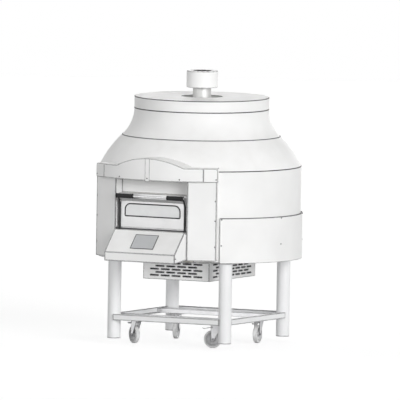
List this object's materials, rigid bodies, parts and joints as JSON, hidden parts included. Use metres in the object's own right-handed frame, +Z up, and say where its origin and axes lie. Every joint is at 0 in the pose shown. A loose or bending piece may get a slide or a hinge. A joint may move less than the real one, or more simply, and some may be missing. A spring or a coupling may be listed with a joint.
{
  "type": "rotating pizza oven",
  "caption": "Round pizza oven with a turning stone hearth, domed hood with flue, drop-down glazed door, sloping console, and a tubular stand on braked swivel casters.",
  "frame": {"origin": "on the floor, under the middle of the whole oven's footprint", "axes": "+Z up along the drum, towards the flue; -Y towards the mouth and the console; +X to the user's right"},
  "size_m": [1.8436, 2.1038, 2.46],
  "materials": {
    "body_white": "satin white powder coat",
    "leg_tube": "satin light grey powder coat",
    "galvanised": "galvanised sheet",
    "zinc": "zinc plated",
    "flue_steel": "heat-dulled stainless",
    "screw_steel": "blackened pan heads",
    "frame_steel": "stainless, brushed",
    "door_steel": "stainless, fine brushed",
    "handle_steel": "polished stainless bar",
    "hinge_steel": "blackened steel",
    "black_steel": "black heat-proof paint",
    "black_plastic": "matt black moulding",
    "display_glass": "grey touch glass, switched off",
    "seal_rubber": "black silicone gasket",
    "door_glass": "clear heat-proof glass",
    "hearth_stone": "fine refractory stone",
    "refractory": "fired refractory",
    "fibre": "ceramic fibre block",
    "gear_iron": "oiled cast iron",
    "gear_steel": "cut steel",
    "motor_paint": "blue-grey enamel",
    "wheel_nylon": "light grey nylon wheel centre",
    "tyre_rubber": "grey non-marking rubber tyre",
    "brake_steel": "light grey pressed-steel pedal"
  },
  "bodies": {
    "oven": {"legs": "leg_tube", "shelf_rails": "leg_tube", "caster_bearers": "galvanised", "caster_plates": "zinc", "deck_plate": "galvanised", "skirt": "body_white", "drum_band": "body_white", "lower_hood": "body_white", "upper_hood": "body_white", "top_cap": "body_white", "flue_pipe": "flue_steel", "flue_cap": "body_white", "body_screws": "screw_steel", "left_column": "body_white", "right_column": "body_white", "header_panels": "body_white", "header_strip": "body_white", "portal_roof": "body_white", "lintel_panel": "body_white", "mouth_frame": "frame_steel", "mouth_lining": "refractory", "console_housing": "body_white", "display_bezel": "black_plastic", "display_screen": "display_glass", "hinge_rod": "hinge_steel", "gear_motor": "motor_paint", "bearing_housing": "gear_iron", "wall_bricks": "refractory", "dome_bricks": "refractory", "insulation": "fibre", "vent_box": "body_white", "cable_gland": "black_plastic", "burner": "gear_iron"},
    "turntable": {"hearth_stones": "hearth_stone", "turntable_frame": "black_steel", "ring_gear": "gear_iron"},
    "drive_pinion": {"pinion": "gear_steel"},
    "door": {"door_panel": "door_steel", "door_seal": "seal_rubber", "door_glass": "door_glass", "door_liner": "frame_steel", "handle_bar": "handle_steel", "handle_grips": "black_plastic", "door_arms": "black_steel"},
    "front_left_caster": {"front_left_fork": "zinc"},
    "front_left_roller": {"front_left_wheel": "wheel_nylon", "front_left_tyre": "tyre_rubber"},
    "front_left_pedal": {"front_left_brake": "brake_steel"},
    "front_right_caster": {"front_right_fork": "zinc"},
    "front_right_roller": {"front_right_wheel": "wheel_nylon", "front_right_tyre": "tyre_rubber"},
    "front_right_pedal": {"front_right_brake": "brake_steel"},
    "rear_left_caster": {"rear_left_fork": "zinc"},
    "rear_left_roller": {"rear_left_wheel": "wheel_nylon", "rear_left_tyre": "tyre_rubber"},
    "rear_left_pedal": {"rear_left_brake": "brake_steel"},
    "rear_right_caster": {"rear_right_fork": "zinc"},
    "rear_right_roller": {"rear_right_wheel": "wheel_nylon", "rear_right_tyre": "tyre_rubber"},
    "rear_right_pedal": {"rear_right_brake": "brake_steel"}
  },
  "joints": [
    {"name": "turntable_spin", "type": "hinge", "parent": "oven", "child": "turntable", "pos_m": [0, 0.13, 1.03], "axis": [0, 0, 1], "continuous": true},
    {"name": "pinion_spin", "type": "hinge", "parent": "oven", "child": "drive_pinion", "pos_m": [0.18, 0.13, 0.65], "axis": [0, 0, 1], "continuous": true},
    {"name": "door_hinge", "type": "hinge", "parent": "oven", "child": "door", "pos_m": [0, -0.814, 1.08], "axis": [1, 0, 0], "range_deg": [0, 90]},
    {"name": "front_left_swivel", "type": "hinge", "parent": "oven", "child": "front_left_caster", "pos_m": [-0.41419, -0.27015, 0.2], "axis": [0, 0, 1], "continuous": true},
    {"name": "front_left_roll", "type": "hinge", "parent": "front_left_caster", "child": "front_left_roller", "pos_m": [-0.45749, -0.23788, 0.08], "axis": [-0.5976, -0.8018, 0], "continuous": true},
    {"name": "front_left_brake_tilt", "type": "hinge", "parent": "front_left_caster", "child": "front_left_pedal", "pos_m": [-0.46398, -0.23304, 0.1867], "axis": [-0.5976, -0.8018, 0], "range_deg": [0, 14]},
    {"name": "front_right_swivel", "type": "hinge", "parent": "oven", "child": "front_right_caster", "pos_m": [0.41419, -0.27015, 0.2], "axis": [0, 0, 1], "continuous": true},
    {"name": "front_right_roll", "type": "hinge", "parent": "front_right_caster", "child": "front_right_roller", "pos_m": [0.36621, -0.29492, 0.08], "axis": [0.4586, -0.8886, 0], "continuous": true},
    {"name": "front_right_brake_tilt", "type": "hinge", "parent": "front_right_caster", "child": "front_right_pedal", "pos_m": [0.35901, -0.29863, 0.1867], "axis": [0.4586, -0.8886, 0], "range_deg": [0, 14]},
    {"name": "rear_left_swivel", "type": "hinge", "parent": "oven", "child": "rear_left_caster", "pos_m": [-0.41419, 0.53015, 0.2], "axis": [0, 0, 1], "continuous": true},
    {"name": "rear_left_roll", "type": "hinge", "parent": "rear_left_caster", "child": "rear_left_roller", "pos_m": [-0.40067, 0.47787, 0.08], "axis": [0.9681, 0.2504, 0], "continuous": true},
    {"name": "rear_left_brake_tilt", "type": "hinge", "parent": "rear_left_caster", "child": "rear_left_pedal", "pos_m": [-0.39865, 0.47003, 0.1867], "axis": [0.9681, 0.2504, 0], "range_deg": [0, 14]},
    {"name": "rear_right_swivel", "type": "hinge", "parent": "oven", "child": "rear_right_caster", "pos_m": [0.41419, 0.53015, 0.2], "axis": [0, 0, 1], "continuous": true},
    {"name": "rear_right_roll", "type": "hinge", "parent": "rear_right_caster", "child": "rear_right_roller", "pos_m": [0.42115, 0.4766, 0.08], "axis": [0.9917, 0.1288, 0], "continuous": true},
    {"name": "rear_right_brake_tilt", "type": "hinge", "parent": "rear_right_caster", "child": "rear_right_pedal", "pos_m": [0.42219, 0.46857, 0.1867], "axis": [0.9917, 0.1288, 0], "range_deg": [0, 14]}
  ],
  "couplings": [
    {"joint": "pinion_spin", "follows": "turntable_spin", "ratio": -4}
  ]
}
